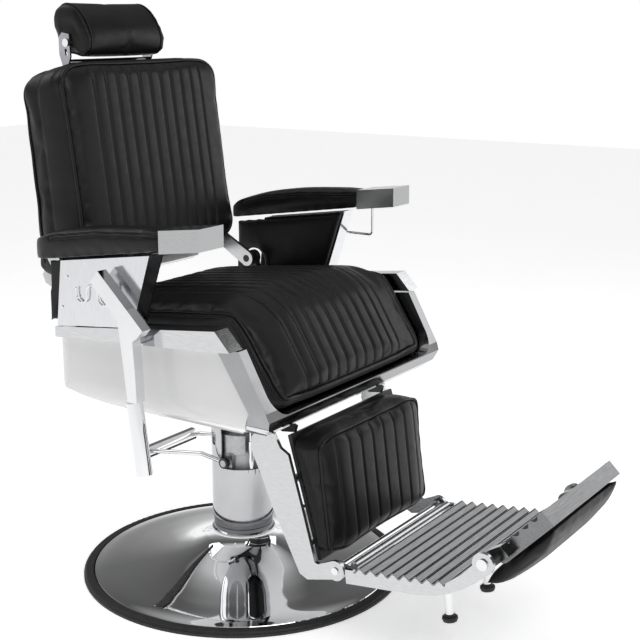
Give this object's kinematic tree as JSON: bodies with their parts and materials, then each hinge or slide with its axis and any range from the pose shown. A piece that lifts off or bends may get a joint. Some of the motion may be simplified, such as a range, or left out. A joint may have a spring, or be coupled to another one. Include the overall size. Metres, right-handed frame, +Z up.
{
  "type": "hydraulic barber chair",
  "caption": "Upholstered barber chair with round base, hydraulic lift column, reclining back, headrest, leg rest and flip-over footrest.",
  "frame": {"origin": "centre of the round base, on the floor plane", "axes": "+Z up, -Y towards the front where the sitter's feet go, +X to the sitter's left"},
  "size_m": [0.7255, 1.1409, 1.163],
  "materials": {
    "leather": "black grained leatherette, low sheen",
    "chrome": "mirror polished chrome plate",
    "satin_steel": "polished stainless sheet with a faint grain",
    "ribbed_metal": "polished cast aluminium with parallel ribs",
    "black_steel": "black satin powder coat",
    "rubber": "matt black moulded rubber",
    "white_shell": "white high gloss",
    "pump_paint": "smooth white enamel",
    "cast_pump": "machined grey casting",
    "bearing_steel": "ground bearing steel",
    "plywood": "birch plywood"
  },
  "bodies": {
    "base": {"base_rubber_ring": "rubber", "base_plate": "chrome", "base_collar": "black_steel", "thrust_bearing": "bearing_steel"},
    "column": {"pump_cylinder": "pump_paint", "column_shroud": "chrome", "pump_head": "cast_pump", "pump_plunger": "cast_pump"},
    "pump_lever": {"lever_shaft": "black_steel", "lever_fork": "chrome", "pedal_bar": "chrome", "pedal_core": "rubber"},
    "seat": {"piston_rod": "chrome", "seat_mount_plate": "black_steel", "slide_channels": "black_steel", "seat_board": "plywood", "skirt_shell": "white_shell", "side_rail_left": "chrome", "side_rail_right": "chrome", "front_band": "chrome", "seat_cushion": "leather", "arm_plates": "satin_steel", "arm_cores": "plywood", "arm_panel_left": "leather", "arm_panel_right": "leather", "arm_pad_left": "leather", "arm_pad_right": "leather", "arm_cap_left": "satin_steel", "arm_cap_right": "satin_steel", "towel_bar": "chrome", "towel_hook": "chrome", "arm_screws": "chrome", "hinge_posts": "black_steel", "gas_strut_tube": "black_steel"},
    "strut_rod": {"gas_strut_rod": "chrome"},
    "back": {"back_hinge_arms": "chrome", "back_shell": "leather", "back_cushion": "leather", "back_lower_cover": "white_shell", "head_sockets": "black_steel"},
    "head_carrier": {"headrest_posts": "chrome"},
    "headrest": {"headrest_cushion": "leather", "headrest_pins": "chrome"},
    "leg_carriage": {"leg_slide_bars": "black_steel"},
    "leg_rest": {"leg_frame_left": "satin_steel", "leg_frame_right": "satin_steel", "leg_cross_tubes": "chrome", "leg_board": "black_steel", "leg_cushion": "leather"},
    "footrest": {"foot_deck": "ribbed_metal", "foot_rails": "satin_steel", "foot_lugs": "chrome", "foot_studs": "chrome", "rubber_feet": "rubber", "kick_pins": "chrome"},
    "kick_plate": {"kick_frame": "ribbed_metal", "kick_pad": "leather"},
    "recline_handle": {"recline_lever": "chrome", "recline_grip": "chrome", "lever_bushes": "chrome"}
  },
  "joints": [
    {"name": "column_swivel", "type": "hinge", "parent": "base", "child": "column", "pos_m": [0, 0, 0], "axis": [0, 0, 1], "continuous": true},
    {"name": "seat_lift", "type": "slide", "parent": "column", "child": "seat", "axis": [0, 0, 1], "range_m": [0, 0.16]},
    {"name": "pump_stroke", "type": "hinge", "parent": "column", "child": "pump_lever", "pos_m": [0, -0.006, 0.247], "axis": [-1, 0, 0], "range_deg": [0, 12], "stiffness_Nm_per_rad": 40, "springref_deg": -14.32},
    {"name": "back_recline", "type": "hinge", "parent": "seat", "child": "back", "pos_m": [0, 0.17, 0.603], "axis": [-1, 0, 0], "range_deg": [0, 50]},
    {"name": "strut_stroke", "type": "slide", "parent": "seat", "child": "strut_rod", "axis": [0, -1, 0], "range_m": [0, 0.04]},
    {"name": "head_height", "type": "slide", "parent": "back", "child": "head_carrier", "axis": [0, 0.1045, 0.9945], "range_m": [0, 0.09]},
    {"name": "head_tilt", "type": "hinge", "parent": "head_carrier", "child": "headrest", "pos_m": [0, 0.331, 1.08], "axis": [1, 0, 0], "range_deg": [-15, 8]},
    {"name": "leg_slide", "type": "slide", "parent": "seat", "child": "leg_carriage", "axis": [0, -1, 0], "range_m": [0, 0.095]},
    {"name": "leg_swing", "type": "hinge", "parent": "leg_carriage", "child": "leg_rest", "pos_m": [0, -0.205, 0.393], "axis": [-1, 0, 0], "range_deg": [0, 60]},
    {"name": "footrest_fold", "type": "hinge", "parent": "leg_rest", "child": "footrest", "pos_m": [0, -0.359, 0.149], "axis": [-1, 0, 0], "range_deg": [0, 60]},
    {"name": "kick_flip", "type": "hinge", "parent": "footrest", "child": "kick_plate", "pos_m": [0, -0.654, 0.236], "axis": [-1, 0, 0], "range_deg": [0, 146]},
    {"name": "recline_pull", "type": "hinge", "parent": "seat", "child": "recline_handle", "pos_m": [0, -0.026, 0.568], "axis": [1, 0, 0], "range_deg": [0, 14], "stiffness_Nm_per_rad": 12, "springref_deg": -11.46}
  ],
  "couplings": [
    {"joint": "leg_slide", "follows": "back_recline", "m_per_rad": 0.10884},
    {"joint": "leg_swing", "follows": "back_recline", "ratio": 1.2},
    {"joint": "strut_stroke", "follows": "back_recline", "m_per_rad": 0.04582}
  ]
}
